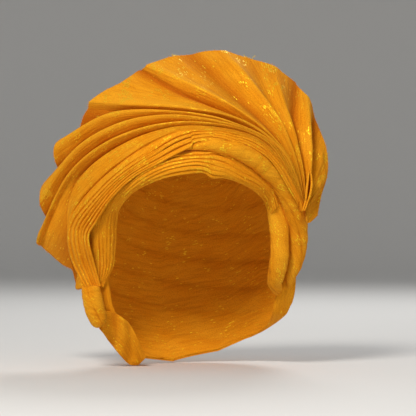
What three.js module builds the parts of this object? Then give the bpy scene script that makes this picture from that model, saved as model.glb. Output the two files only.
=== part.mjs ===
// Tied gele head tie: one long brocade cloth wrapped round the back of the head, pleated over the brow,
// opened into a fan above it, rolled down one cheek and knotted beside the other.
// Millimetres, +Z up, the face looks along -Y, +X is on the right for someone facing the wearer.
// The origin is the point where the crown of the head bears on the inside of the wrap.
import * as THREE from "three";
import { mergeVertices } from "three/addons/utils/BufferGeometryUtils.js";

// Driving dimensions
const CLOTH = 1.6; // wall of the doubled brocade
const PLEATED_CLOTH = 2.2; // the same wall measured square to the sheet where narrow pleats slope steeply
const FAN_CLOTH = 2.0; // the same for the wide, gentler folds of the fan
const GAP = 0.4; // play between one layer and the next
const HEAD = { halfWidth: 77, halfDepth: 97, crownToWidest: 111 };

// Finish of the cloth
const brocade = new THREE.MeshStandardMaterial({ color: 0xe8960f, roughness: 0.55, metalness: 0.15 });

// Depth of the front layers: a bowl that sweeps back to both sides, leans back as it rises above the brow and
// tucks back to the cheek low down
const BOWL = {
  brow: -94,
  sweepRight: 50,
  sweepLeft: 62,
  sweepSpan: 105,
  lean: 80,
  leanFrom: -45,
  leanSpan: 115,
  tuck: 27,
  tuckFrom: -100,
  tuckTo: -160,
};

// The pleat stack runs from the right gather to the left one: a row for each section, with its edge next to
// the face (in) and its edge next to the fan (out), as seen from the front
const STACK_PLEATS = 5;
const STACK_RISE = 1.5;
const STACK_STEEPEST = 0.35; // rise of a pleat against its width where the stack is narrow
const STACK = [
  { inX: 101, inZ: -76, outX: 106, outZ: -72 },
  { inX: 92, inZ: -62, outX: 98, outZ: -59 },
  { inX: 79, inZ: -39, outX: 86, outZ: -36 },
  { inX: 61, inZ: -24, outX: 66, outZ: -17 },
  { inX: 42, inZ: -19, outX: 45, outZ: -9 },
  { inX: 18, inZ: -21, outX: 20, outZ: -5 },
  { inX: -9, inZ: -24, outX: -14, outZ: -6 },
  { inX: -32, inZ: -33, outX: -46, outZ: -20 },
  { inX: -55, inZ: -49, outX: -77, outZ: -42 },
  { inX: -78, inZ: -71, outX: -101, outZ: -63 },
  { inX: -95, inZ: -93, outX: -118, outZ: -86 },
  { inX: -99, inZ: -108, outX: -123, outZ: -107 },
  { inX: -98, inZ: -130, outX: -116, outZ: -132 },
  { inX: -92, inZ: -157, outX: -104, outZ: -158 },
];

// The fan spreads from the right gather: a row for each guide ray, with the points a fifth, two fifths, three
// fifths and four fifths of the way along it (a to d) and its tip on the free edge, as seen from the front
const FAN_ROOT = { fromX: 107, fromZ: -71, toX: 113, toZ: -79 };
const FAN_RAYS = [
  { aX: 69, aZ: -17, bX: 3, bZ: -1, cX: -64, cZ: -14, dX: -117, dZ: -51, tipX: -146, tipZ: -112 },
  { aX: 74, aZ: -19, bX: 13, bZ: 1, cX: -51, cZ: 2, dX: -107, dZ: -22, tipX: -145, tipZ: -70 },
  { aX: 80, aZ: -23, bX: 30, bZ: 0, cX: -25, cZ: 9, dX: -80, dZ: 7, tipX: -128, tipZ: -17 },
  { aX: 86, aZ: -29, bX: 46, bZ: 0, cX: -1, cZ: 10, dX: -50, dZ: 15, tipX: -98, tipZ: 20 },
  { aX: 93, aZ: -36, bX: 64, bZ: -5, cX: 30, cZ: 17, dX: -6, dZ: 35, tipX: -46, tipZ: 55 },
  { aX: 97, aZ: -40, bX: 77, bZ: -8, cX: 51, cZ: 18, dX: 22, dZ: 43, tipX: -9, tipZ: 68 },
  { aX: 101, aZ: -43, bX: 89, bZ: -12, cX: 71, cZ: 17, dX: 52, dZ: 44, tipX: 31, tipZ: 69 },
  { aX: 106, aZ: -47, bX: 99, bZ: -18, cX: 92, cZ: 7, dX: 85, dZ: 30, tipX: 79, tipZ: 54 },
  { aX: 111, aZ: -56, bX: 111, bZ: -36, cX: 110, cZ: -16, dX: 108, dZ: 3, tipX: 107, tipZ: 24 },
  { aX: 113, aZ: -63, bX: 115, bZ: -50, cX: 117, cZ: -37, dX: 120, dZ: -23, tipX: 123, tipZ: -9 },
  { aX: 115, aZ: -70, bX: 119, bZ: -63, cX: 122, cZ: -57, dX: 126, dZ: -50, tipX: 129, tipZ: -44 },
  { aX: 115, aZ: -81, bX: 116, bZ: -83, cX: 117, cZ: -85, dX: 119, dZ: -87, tipX: 120, tipZ: -88 },
];
// Folds of the fan, a row for each ridge (rise above 0) and each valley, placed by how many rays it lies past
// the stack; a fold stands full height where the rays beside it are at least FOLD_ROOM apart
const FOLD_ROOM = 16;
const FAN_FOLDS = [
  { ray: 0.0, rise: -1 },
  { ray: 0.45, rise: -6 },
  { ray: 1.0, rise: 7 },
  { ray: 1.5, rise: -7 },
  { ray: 2.0, rise: 7 },
  { ray: 2.5, rise: -7 },
  { ray: 3.0, rise: 6 },
  { ray: 3.85, rise: -7 },
  { ray: 4.1, rise: 5 },
  { ray: 4.5, rise: 3 },
  { ray: 4.92, rise: -7 },
  { ray: 5.1, rise: 5 },
  { ray: 5.5, rise: 2 },
  { ray: 6.0, rise: -4 },
  { ray: 6.5, rise: 0 },
  { ray: 7.0, rise: 6 },
  { ray: 7.5, rise: -2 },
  { ray: 8.0, rise: 4 },
  { ray: 8.6, rise: -4 },
  { ray: 9.0, rise: 6 },
  { ray: 9.5, rise: -5 },
  { ray: 10.4, rise: 2 },
  { ray: 11.0, rise: 4 },
  { ray: 11.5, rise: -2 },
  { ray: 12.0, rise: 0 },
];

// The brow band hugs the hairline from the left gather to the right roll: a row for each section, with its
// edge on the face (in) and its edge under the roll and the stack (out)
const BAND_PLEATS = 5;
const BAND_RISE = 1.3;
const BAND = [
  { inX: -84, inY: -12, inZ: -152, outX: -92, outY: -14, outZ: -150 },
  { inX: -79, inY: -14, inZ: -133, outX: -100, outY: -17, outZ: -130 },
  { inX: -77, inY: -22, inZ: -110, outX: -104, outY: -27, outZ: -108 },
  { inX: -76, inY: -30, inZ: -92, outX: -101, outY: -33, outZ: -90 },
  { inX: -72, inY: -41, inZ: -79, outX: -86, outY: -44, outZ: -70 },
  { inX: -58, inY: -60, inZ: -66, outX: -68, outY: -57, outZ: -51 },
  { inX: -39, inY: -76, inZ: -56, outX: -48, outY: -70, outZ: -37 },
  { inX: -20, inY: -84, inZ: -50, outX: -24, outY: -76, outZ: -27 },
  { inX: 1, inY: -86, inZ: -47, outX: 2, outY: -74, outZ: -24 },
  { inX: 23, inY: -82, inZ: -49, outX: 28, outY: -66, outZ: -25 },
  { inX: 43, inY: -71, inZ: -54, outX: 50, outY: -46, outZ: -30 },
  { inX: 59, inY: -56, inZ: -62, outX: 65, outY: -24, outZ: -39 },
  { inX: 69, inY: -37, inZ: -72, outX: 75, outY: -11, outZ: -55 },
];

// The brow roll starts under the stack, crosses the brow and runs down the outside of the right cheek
const BROW_ROLL = [
  { x: -8, y: -86, z: -29, radius: 3 },
  { x: 20, y: -82, z: -26, radius: 5.5 },
  { x: 42, y: -76, z: -27, radius: 7 },
  { x: 62, y: -66, z: -34, radius: 8 },
  { x: 76, y: -55, z: -47, radius: 8.3 },
  { x: 89, y: -43, z: -62, radius: 8 },
  { x: 99, y: -31, z: -79, radius: 8.8 },
  { x: 103, y: -20, z: -96, radius: 9.4 },
  { x: 103, y: -12, z: -115, radius: 9.5 },
  { x: 101, y: -6, z: -133, radius: 9.3 },
  { x: 96, y: -3.4, z: -151, radius: 8.8 },
  { x: 91, y: -2, z: -168, radius: 6.5 },
];
// The side roll lies inside it, against the cheek
const SIDE_ROLL = [
  { x: 75, y: -38, z: -57, radius: 4.6 },
  { x: 77.4, y: -35.4, z: -66, radius: 5.7 },
  { x: 80, y: -32, z: -77, radius: 7.6 },
  { x: 83, y: -27, z: -95, radius: 8.3 },
  { x: 85, y: -24, z: -112, radius: 8.5 },
  { x: 85, y: -21, z: -128, radius: 8.4 },
  { x: 83, y: -19, z: -143, radius: 7.8 },
  { x: 79, y: -17, z: -157, radius: 6 },
];
// The knot under the left gather, and its tail that turns under and runs back to the wrap
const KNOT = [
  { x: -97, y: -23, z: -157.2, radius: 9 },
  { x: -96, y: -23, z: -166, radius: 11 },
  { x: -94, y: -21, z: -178, radius: 11 },
  { x: -91, y: -18, z: -190, radius: 10 },
  { x: -89, y: -16, z: -195, radius: 6 },
];
const TAIL_FOLDS = 1.5;
const TAIL_RISE = 2;
const TAIL = [
  { inX: -96, inY: -5, inZ: -189, outX: -91, outY: -3, outZ: -200 },
  { inX: -87, inY: -5, inZ: -185, outX: -84, outY: 0, outZ: -213 },
  { inX: -75, inY: -4, inZ: -189, outX: -74, outY: 7, outZ: -224 },
  { inX: -67, inY: -1, inZ: -197, outX: -63, outY: 16, outZ: -232 },
];

// The back wrap: a hood over the crown and round to the nape, looser low down and wider on the right
const WRAP = {
  clearance: 1.4,
  looseLeft: 10,
  looseRight: 20,
  looseBack: 10,
  looseFrom: 110,
  looseTo: 70,
  looseFromZ: -40,
  looseToZ: -140,
  hang: 124,
  flare: 0.16,
  tuckIn: 0.5,
};
// Lower edge of the wrap, a row for each bearing round the head from the front (-180), past the left (-90)
// and the nape (0) to the front again
const WRAP_RIM = [
  { bearing: -180, z: -34 },
  { bearing: -150, z: -38 },
  { bearing: -120, z: -52 },
  { bearing: -105, z: -80 },
  { bearing: -97, z: -120 },
  { bearing: -93, z: -175 },
  { bearing: -88, z: -200 },
  { bearing: -60, z: -230 },
  { bearing: -20, z: -236 },
  { bearing: 20, z: -226 },
  { bearing: 50, z: -211 },
  { bearing: 74, z: -196 },
  { bearing: 84, z: -165 },
  { bearing: 93, z: -118 },
  { bearing: 105, z: -62 },
  { bearing: 120, z: -46 },
  { bearing: 150, z: -38 },
  { bearing: 180, z: -34 },
];

// The tuck: a hairpin of cloth pinned in front of the right gather, open towards the front
const TUCK = { x: 112, topZ: -45, bottomZ: -79, legs: 7, legShare: 0.35, slit: 2.4, lean: 2, standOff: 7.3 };

const vec = (x, y, z) => new THREE.Vector3(x, y, z);
const lerp = THREE.MathUtils.lerp;
const smoothstep = THREE.MathUtils.smoothstep;
function steps(count, from = 0, to = 1) {
  return Array.from({ length: count + 1 }, (_, i) => lerp(from, to, i / count));
}

// Every column of a table at t from 0 (its first row) to 1 (its last), on a smooth curve through the rows
function smoothRow(rows, t) {
  const last = rows.length - 1;
  const i = Math.min(Math.floor(t * last), last - 1);
  const f = t * last - i;
  const row = (k) => rows[Math.min(Math.max(k, 0), last)];
  const made = {};
  for (const key of Object.keys(rows[0])) {
    const [a, b, c, d] = [row(i - 1)[key], row(i)[key], row(i + 1)[key], row(i + 2)[key]];
    const slopeB = (c - a) / 2;
    const slopeC = (d - b) / 2;
    const bend = 3 * (c - b) - 2 * slopeB - slopeC;
    const twist = slopeB + slopeC - 2 * (c - b);
    made[key] = b + f * (slopeB + f * (bend + f * twist));
  }
  return made;
}

// A table's value at a position given by another column, on straight lines between the rows
function valueAt(rows, keyColumn, key, column) {
  const i = Math.max(1, rows.findIndex((row, k) => k > 0 && row[keyColumn] >= key));
  const [low, high] = [rows[i - 1], rows[i]];
  return lerp(low[column], high[column], (key - low[keyColumn]) / (high[keyColumn] - low[keyColumn]));
}

// One closed solid from points and triangles: shared points merged, empty triangles dropped, faces turned out
function solidGeometry(points, triangles) {
  const loose = new THREE.BufferGeometry().setFromPoints(points).setIndex(triangles.flat());
  const geometry = mergeVertices(loose, 1e-3);
  const index = [];
  const corners = [vec(), vec(), vec()];
  let volume = 0;
  for (let i = 0; i < geometry.index.count; i += 3) {
    const ids = [0, 1, 2].map((k) => geometry.index.getX(i + k));
    if (new Set(ids).size < 3) continue;
    ids.forEach((id, k) => corners[k].fromBufferAttribute(geometry.attributes.position, id));
    volume += corners[0].dot(corners[1].clone().cross(corners[2]));
    index.push(ids);
  }
  const facingOut = volume > 0 ? index : index.map(([a, b, c]) => [a, c, b]);
  geometry.setIndex(facingOut.flat());
  geometry.computeVertexNormals();
  return geometry;
}

// A wall of cloth about the surface at(u, v), which gives a point and the way its front faces: two faces half
// a thickness to each side, joined round the edge; a ring closes on itself along u
function clothWall(at, us, vs, thickness, ring = false) {
  const points = [];
  for (const side of [0.5, -0.5])
    for (const v of vs)
      for (const u of us) {
        const { point, front } = at(u, v);
        points.push(point.clone().addScaledVector(front, side * thickness));
      }
  const id = (back, j, i) => (back * vs.length + j) * us.length + (i % us.length);
  const triangles = [];
  const quad = (a, b, c, d) => triangles.push([a, b, c], [a, c, d]);
  const lastV = vs.length - 1;
  const spans = ring ? us.length : us.length - 1;
  for (let i = 0; i < spans; i++) {
    for (let j = 0; j < lastV; j++) {
      quad(id(0, j, i), id(0, j, i + 1), id(0, j + 1, i + 1), id(0, j + 1, i));
      quad(id(1, j, i), id(1, j + 1, i), id(1, j + 1, i + 1), id(1, j, i + 1));
    }
    quad(id(0, 0, i), id(1, 0, i), id(1, 0, i + 1), id(0, 0, i + 1));
    quad(id(0, lastV, i), id(0, lastV, i + 1), id(1, lastV, i + 1), id(1, lastV, i));
  }
  for (let j = 0; j < lastV && !ring; j++) {
    quad(id(0, j, 0), id(0, j + 1, 0), id(1, j + 1, 0), id(1, j, 0));
    quad(id(0, j, spans), id(1, j, spans), id(1, j + 1, spans), id(0, j + 1, spans));
  }
  return solidGeometry(points, triangles);
}

// Depth of the bowl behind the front view at (x, z), and the way its surface faces there
function bowlDepth(x, z) {
  const sweep = (x > 0 ? BOWL.sweepRight : BOWL.sweepLeft) * (x / BOWL.sweepSpan) ** 2;
  const lean = BOWL.lean * (Math.max(0, z - BOWL.leanFrom) / BOWL.leanSpan) ** 2;
  return BOWL.brow + sweep + lean + BOWL.tuck * smoothstep(-z, -BOWL.tuckFrom, -BOWL.tuckTo);
}
function onBowl(x, z, rise) {
  const slopeX = (bowlDepth(x + 1, z) - bowlDepth(x - 1, z)) / 2;
  const slopeZ = (bowlDepth(x, z + 1) - bowlDepth(x, z - 1)) / 2;
  const front = vec(slopeX, -1, slopeZ).normalize();
  return { point: vec(x, bowlDepth(x, z), z).addScaledVector(front, rise), front };
}

// Ridges and valleys across a pleated sheet: 1 on a ridge, -1 in a valley and at both edges
const pleatWave = (v, pleats) => -Math.cos(2 * Math.PI * pleats * v);

function stackEdges(u) {
  const row = smoothRow(STACK, u);
  return { inner: vec(row.inX, 0, row.inZ), outer: vec(row.outX, 0, row.outZ) };
}
function pleatStack() {
  const at = (u, v) => {
    const { inner, outer } = stackEdges(u);
    const rise = Math.min(STACK_RISE, (STACK_STEEPEST * inner.distanceTo(outer)) / STACK_PLEATS);
    const seen = inner.lerp(outer, v);
    return onBowl(seen.x, seen.z, rise * pleatWave(v, STACK_PLEATS));
  };
  return clothWall(at, steps(30), steps(2 * STACK_PLEATS), PLEATED_CLOTH);
}

// Where guide ray k of the fan runs, seen from the front; ray 0 follows the edge of the stack
function fanRay(k, u) {
  if (k === 0) {
    const { inner, outer } = stackEdges(u);
    return outer.clone().add(outer.clone().sub(inner).setLength(3 * GAP));
  }
  const row = FAN_RAYS[k - 1];
  const share = k / FAN_RAYS.length;
  const points = [
    { x: lerp(FAN_ROOT.fromX, FAN_ROOT.toX, share), z: lerp(FAN_ROOT.fromZ, FAN_ROOT.toZ, share) },
    { x: row.aX, z: row.aZ },
    { x: row.bX, z: row.bZ },
    { x: row.cX, z: row.cZ },
    { x: row.dX, z: row.dZ },
    { x: row.tipX, z: row.tipZ },
  ];
  const { x, z } = smoothRow(points, u);
  return vec(x, 0, z);
}
function fan() {
  const at = (u, v) => {
    const k = Math.min(Math.floor(v), FAN_RAYS.length - 1);
    const rays = steps(FAN_RAYS.length, 0, FAN_RAYS.length).map((number) => fanRay(number, u));
    const [ray, next] = [rays[k], rays[k + 1]];
    const spread = Math.min(1, ray.distanceTo(next) / FOLD_ROOM);
    const straight = ray.clone().lerp(next, v - k);
    const rounded = smoothRow(rays.map(({ x, z }) => ({ x, z })), v / FAN_RAYS.length);
    const seen = straight.lerp(vec(rounded.x, 0, rounded.z), u * u);
    return onBowl(seen.x, seen.z, spread * valueAt(FAN_FOLDS, "ray", v, "rise"));
  };
  const across = FAN_FOLDS.flatMap(({ ray }, i) => (i ? [(FAN_FOLDS[i - 1].ray + ray) / 2, ray] : [ray]));
  return clothWall(at, steps(20), across, FAN_CLOTH);
}

// A pleated sheet between the two edges of a table whose rows are its sections
function pleatedSheet(rows, pleats, rise, sections) {
  const at = (u, v) => {
    const row = smoothRow(rows, u);
    const ahead = smoothRow(rows, Math.min(u + 0.01, 1));
    const behind = smoothRow(rows, Math.max(u - 0.01, 0));
    const inner = vec(row.inX, row.inY, row.inZ);
    const outer = vec(row.outX, row.outY, row.outZ);
    const along = vec(ahead.inX - behind.inX, ahead.inY - behind.inY, ahead.inZ - behind.inZ);
    const front = along.cross(outer.clone().sub(inner)).normalize();
    const point = inner.lerp(outer, v).addScaledVector(front, rise * pleatWave(v, pleats));
    return { point, front };
  };
  return clothWall(at, steps(sections), steps(Math.ceil(2 * pleats)), PLEATED_CLOTH);
}

// A roll of cloth along a table of centres and radii, domed at both ends, its folds winding round it
function clothRoll(rows, sides, rings, folds, turns, depth) {
  const points = [];
  const triangles = [];
  for (let j = 0; j <= rings; j++) {
    const t = j / rings;
    const { x, y, z, radius } = smoothRow(rows, t);
    const ahead = smoothRow(rows, Math.min(t + 0.01, 1));
    const behind = smoothRow(rows, Math.max(t - 0.01, 0));
    const along = vec(ahead.x - behind.x, ahead.y - behind.y, ahead.z - behind.z).normalize();
    const facing = vec(0, -1, 0);
    facing.addScaledVector(along, -facing.dot(along)).normalize();
    const aside = along.clone().cross(facing);
    const dome = Math.sqrt(1 - (2 * t - 1) ** 8);
    for (let i = 0; i < sides; i++) {
      const angle = (2 * Math.PI * i) / sides;
      const reach = radius * dome * (1 + depth * Math.cos(folds * angle - 2 * Math.PI * turns * t));
      const spoke = aside.clone().multiplyScalar(Math.cos(angle)).addScaledVector(facing, Math.sin(angle));
      points.push(vec(x, y, z).addScaledVector(spoke, reach));
    }
  }
  const id = (j, i) => j * sides + (i % sides);
  for (let j = 0; j < rings; j++)
    for (let i = 0; i < sides; i++)
      triangles.push([id(j, i), id(j, i + 1), id(j + 1, i + 1)], [id(j, i), id(j + 1, i + 1), id(j + 1, i)]);
  return solidGeometry(points, triangles);
}

// The wrap at a bearing round the head (0 at the nape, -90 on the left) and a share of the way from its rim
// up to the crown: a dome above the widest part of the head, a bag that flares and tucks in below it
function backWrap() {
  const middle = -HEAD.crownToWidest;
  const top = HEAD.crownToWidest + WRAP.clearance;
  const bagTurn = WRAP.hang / top;
  const at = (bearing, share) => {
    const rim = valueAt(WRAP_RIM, "bearing", bearing, "z");
    const rimTurn = rim < middle ? (rim - middle) / top : Math.asin((rim - middle) / top);
    const turn = lerp(rimTurn, Math.PI / 2, share);
    const below = Math.max(0, -turn) / bagTurn;
    const z = turn < 0 ? middle - WRAP.hang * below : middle + top * Math.sin(turn);
    const girth = turn < 0 ? 1 + WRAP.flare * below - WRAP.tuckIn * below ** 3 : Math.cos(turn);
    const behind = smoothstep(-Math.abs(bearing), -WRAP.looseFrom, -WRAP.looseTo);
    const loose = behind * smoothstep(-z, -WRAP.looseFromZ, -WRAP.looseToZ);
    const angle = THREE.MathUtils.degToRad(bearing);
    const [side, back] = [Math.sin(angle), Math.cos(angle)];
    const width = HEAD.halfWidth + WRAP.clearance + loose * (side < 0 ? WRAP.looseLeft : WRAP.looseRight);
    const depth = HEAD.halfDepth + WRAP.clearance + loose * WRAP.looseBack * Math.max(0, back);
    const point = vec(width * girth * side, depth * girth * back, z);
    const upward = Math.max(0, z - middle) / top ** 2;
    const front = vec(point.x / width ** 2, point.y / depth ** 2, upward).normalize();
    return { point, front };
  };
  const spans = WRAP_RIM.slice(1).map(({ bearing }, i) => [WRAP_RIM[i].bearing, bearing]);
  const bearings = spans.flatMap(([from, to]) => steps(3, from, to).slice(0, 3));
  return clothWall(at, bearings, steps(12), CLOTH, true);
}

// The tuck follows the fan's right leaf: its two legs stand forward of a round bend that lies on the leaf
function tuck() {
  const half = (TUCK.slit + CLOTH) / 2;
  const at = (u, v) => {
    const z = lerp(TUCK.bottomZ, TUCK.topZ, v);
    const x = TUCK.x + TUCK.lean * (0.5 - v);
    const y = bowlDepth(x, z) - TUCK.standOff - half;
    const turn = Math.PI * THREE.MathUtils.clamp((u - TUCK.legShare) / (1 - 2 * TUCK.legShare), 0, 1);
    const leg = Math.max(0, TUCK.legShare - Math.min(u, 1 - u)) / TUCK.legShare;
    const front = vec(-Math.cos(turn), Math.sin(turn), 0);
    const point = vec(x, y - TUCK.legs * leg, z).addScaledVector(front, half);
    return { point, front };
  };
  const bends = [0, ...steps(6, TUCK.legShare, 1 - TUCK.legShare), 1];
  return clothWall(at, bends, steps(6), CLOTH);
}

const gele = new THREE.Group();
function addPiece(name, geometry) {
  const piece = new THREE.Mesh(geometry, brocade);
  piece.name = name;
  gele.add(piece);
}
addPiece("back_wrap", backWrap());
addPiece("brow_band", pleatedSheet(BAND, BAND_PLEATS, BAND_RISE, 26));
addPiece("brow_roll", clothRoll(BROW_ROLL, 12, 26, 2, 1.5, 0.06));
addPiece("side_roll", clothRoll(SIDE_ROLL, 12, 18, 2, 1, 0.06));
addPiece("pleat_stack", pleatStack());
addPiece("fan", fan());
addPiece("knot", clothRoll(KNOT, 14, 14, 3, 0.5, 0.04));
addPiece("knot_tail", pleatedSheet(TAIL, TAIL_FOLDS, TAIL_RISE, 8));
addPiece("end_tuck", tuck());

export default gele;
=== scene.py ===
"""Looks of the tied gele head tie: pleated gold brocade, made on the same rules as its solids.

Tables are in millimetres in the part's own frame; meshes are in metres. The face looks along -Y.
"""
import math

import bpy
import numpy as np
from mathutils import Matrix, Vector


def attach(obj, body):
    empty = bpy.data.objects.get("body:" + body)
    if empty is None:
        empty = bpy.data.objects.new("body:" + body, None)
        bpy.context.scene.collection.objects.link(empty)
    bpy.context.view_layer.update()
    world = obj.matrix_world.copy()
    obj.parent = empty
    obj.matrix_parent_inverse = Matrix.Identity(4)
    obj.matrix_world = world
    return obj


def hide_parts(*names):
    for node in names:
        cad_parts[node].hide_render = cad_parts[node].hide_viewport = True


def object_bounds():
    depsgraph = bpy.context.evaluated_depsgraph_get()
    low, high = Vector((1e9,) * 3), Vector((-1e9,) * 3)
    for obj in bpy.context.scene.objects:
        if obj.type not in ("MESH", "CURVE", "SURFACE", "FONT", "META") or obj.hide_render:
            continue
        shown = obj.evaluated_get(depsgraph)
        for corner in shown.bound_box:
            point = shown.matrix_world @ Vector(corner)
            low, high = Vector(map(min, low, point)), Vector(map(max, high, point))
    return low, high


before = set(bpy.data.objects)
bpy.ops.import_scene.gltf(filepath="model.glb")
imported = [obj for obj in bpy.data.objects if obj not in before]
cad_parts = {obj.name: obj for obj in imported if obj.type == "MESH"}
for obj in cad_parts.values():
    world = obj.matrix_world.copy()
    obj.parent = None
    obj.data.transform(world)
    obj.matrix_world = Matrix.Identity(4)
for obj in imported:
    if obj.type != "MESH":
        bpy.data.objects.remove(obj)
CAD_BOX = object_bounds()
MM = 0.001
TURN = 2 * math.pi

# Sizes, close to those of the solids
HEAD_HALF_WIDTH, HEAD_HALF_DEPTH, CROWN_TO_WIDEST = 77, 97, 111
FAN_TUCKS_UNDER = 3
# Bowl that the front lies on: depth at the brow, sweep back at the sides, lean above, tuck in below
BOWL = dict(
    brow=-94, sweep_right=50, sweep_left=62, sweep_span=105, lean=80, lean_from=-45, lean_span=115,
    tuck=27, tuck_from=-100, tuck_to=-160,
)
# Pleat stack, seen from the front: in x, in z, out x, out z
STACK = [
    (107.5, -84, 109, -83), (97, -69, 103, -66), (79, -40, 86, -36), (62, -25.5, 66, -17),
    (42, -18.5, 45, -9), (18, -15.5, 20, -5), (-10, -27, -14, -6), (-33, -39, -46, -20),
    (-56, -51.5, -77, -42), (-77, -71, -101, -63), (-92, -93.5, -119.5, -86),
    (-100.5, -107.5, -124, -107), (-97, -130.5, -120.5, -133), (-90, -157, -106, -160),
]
# Strips of the stack: their edges across it at its left, and over the brow where some have run together
STRIP_EDGES = (0, 0.11, 0.25, 0.38, 0.50, 0.66, 0.84, 1)
BROW_STRIP_EDGES = (0, 0.26, 0.54, 0.77, 1)
# Gap between the inner and the outer strips on the left: place across the stack, half width, depth, and
# the shares of the stack's length over which it opens and then widens
STRIP_GAP = dict(
    place=0.38, half_width=0.035, low_half_width=0.07, depth=3, opens=(0.55, 0.75), widens=(0.78, 0.92),
)
# Ends of strips on the stack's lower edge: from x, to x, and how far the edge stands back at the first
STRIP_ENDS = [(0, 18, 3), (19, 42, 2.4), (43, 62, 1.6)]
# Fan rays, seen from the front: x and z at one to four fifths of the way along, then at the tip
FAN_ROOT_FROM, FAN_ROOT_TO = (108, -75), (110, -81)
FAN_RAYS = [
    (69, -17, 3, -1, -64, -14, -117, -51, -152, -115), (74, -19, 13, 1, -51, 2, -107, -22, -146.5, -69),
    (80, -23, 30, 0, -25, 9, -80, 7, -131, -19), (86, -29, 46, 0, -1, 10, -50, 15, -100, 21),
    (93, -36, 64, -5, 30, 17, -6, 35, -46, 57), (97, -40, 77, -8, 51, 18, 22, 43, -10, 70),
    (101, -43, 89, -12, 71, 17, 52, 44, 31, 73), (106, -47, 99, -18, 92, 7, 85, 30, 80, 58),
    (111, -56, 111, -36, 111, -16, 111, 3, 112, 27), (113, -63, 116, -50, 119, -37, 123, -23, 127, -9),
    (115, -70, 119, -63, 123, -57, 127, -50, 131, -44),
    (110, -84, 109.5, -90, 111.5, -94.5, 115.5, -93.5, 121, -88),
]
# Folds of the fan: rays past the stack, rise, and how crisp the fold is (0 round, 1 straight sides, more
# for a cusp). They have their full rise where two rays are FOLD_ROOM apart or more
FOLD_ROOM = 16
FAN_FOLDS = [
    (0.0, -4, 1.0), (0.1, -4.5, 0.5), (0.17, 1, 0.4), (0.78, 0.5, 0.6), (0.92, -7, 0.7), (1.1, 7, 0.2),
    (1.5, -9, 1.4), (2.0, 7, 0.1), (2.5, -9, 1.5), (3.0, 7, 0.1), (3.4, -9, 0.8), (3.9, -5, 0.6),
    (4.02, 8, 0.8), (4.55, 3, 0.5), (4.9, -8, 1.2), (5.04, 7, 0.7), (5.5, 1, 0.5), (6.2, -5, 0.2),
    (6.6, -1, 0.6), (7.0, 6, 0.9), (7.5, -3, 0.2), (8.0, 4, 0.5), (8.6, -6, 0.3), (9.0, 7, 0.3),
    (9.5, -6, 0.3), (10.4, 2, 0.2), (11.0, 4, 0.2), (11.5, -2, 0.3), (12.0, 0, 0.5),
]
# The fan's first leaf narrows to the left: the row of its far side and of the ridge beyond, then shares
# of its length and the row that its far side comes down to there
FIRST_LEAF, FIRST_LEAF_RIDGE = 0.92, 1.1
FIRST_LEAF_NARROWS = [(0.7, 0.92), (0.775, 0.88), (0.82, 0.65), (0.845, 0.35), (0.87, 0.14), (1, 0.1)]
# Shifts of the fan's free edge, for its lower corner and uneven tips: rays past the stack, in x, in z
FAN_EDGE = [
    (0, -1, 0), (0.05, -8, -2), (0.12, -12.5, -4.5), (0.19, -11.7, -5), (0.31, -6.5, -2.6),
    (0.41, -0.6, -0.5), (0.48, 1.2, -1.2), (0.61, 1, -4), (0.81, 0, -3), (1, -2, -3.3), (1.1, 2, -3.3),
    (1.2, 3, -1), (1.3, 2.8, 0), (1.5, 0, 0), (2, 0, 0), (2.2, -4, 0), (2.42, -5, 0), (2.5, 0, 0),
    (4.3, 0, 0), (4.55, 1, -1.5), (4.7, 0, 0), (4.87, -1, 3.5), (5, 0, 0), (8.2, 0, 0), (8.55, 2.5, 3.5),
    (8.9, 0, 0),
]
# Share of a ray past which the edge's shift sets in: rays past the stack, share
FAN_EDGE_FROM = [(0.2, 0.95), (0.4, 0.8)]
# Brow band, x, y and z of each: its edge on the face, where it goes in under the roll or the stack, and
# its edge over the hood
BAND = [
    (-88, -12, -158, -91, -12, -158, -94, -10, -158), (-85, -12, -152, -92, -13, -151, -97, -10, -150),
    (-78.5, -14, -137, -92, -19, -134, -104, -12, -132),
    (-75.5, -22, -112, -92, -31, -110, -106, -20, -108),
    (-74, -30, -94, -90, -41, -91, -103, -31, -88), (-71, -41, -80, -80, -52, -74, -86, -44, -70),
    (-58, -60, -66, -64, -67, -57, -68, -57, -51), (-39, -76, -56, -45, -80.5, -42, -49, -70, -35),
    (-20, -84, -50, -23, -86, -33, -24, -76, -24), (1, -86, -47, 1, -87, -29.5, 2, -74, -20),
    (12, -85.5, -47.5, 14, -85.5, -29, 16, -70, -14), (19, -83.5, -51.5, 22, -83.5, -29.5, 25, -67, -10),
    (31, -79, -51, 36, -78.5, -33, 39, -61, -9), (43, -71, -54, 49, -71, -40, 52, -54, -12),
    (59, -56, -62, 66, -58, -49, 67, -42, -24), (69, -37, -72, 79, -45, -61, 78, -28, -42),
    (75, -30, -87, 84, -36, -75, 88, -20, -64),
]
# Share across the band where it goes in, and the edges of its strips
BAND_BEND = 0.62
BAND_STRIP_EDGES = (0, 0.11, 0.24, 0.36, 0.49, 0.62, 1)
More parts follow.
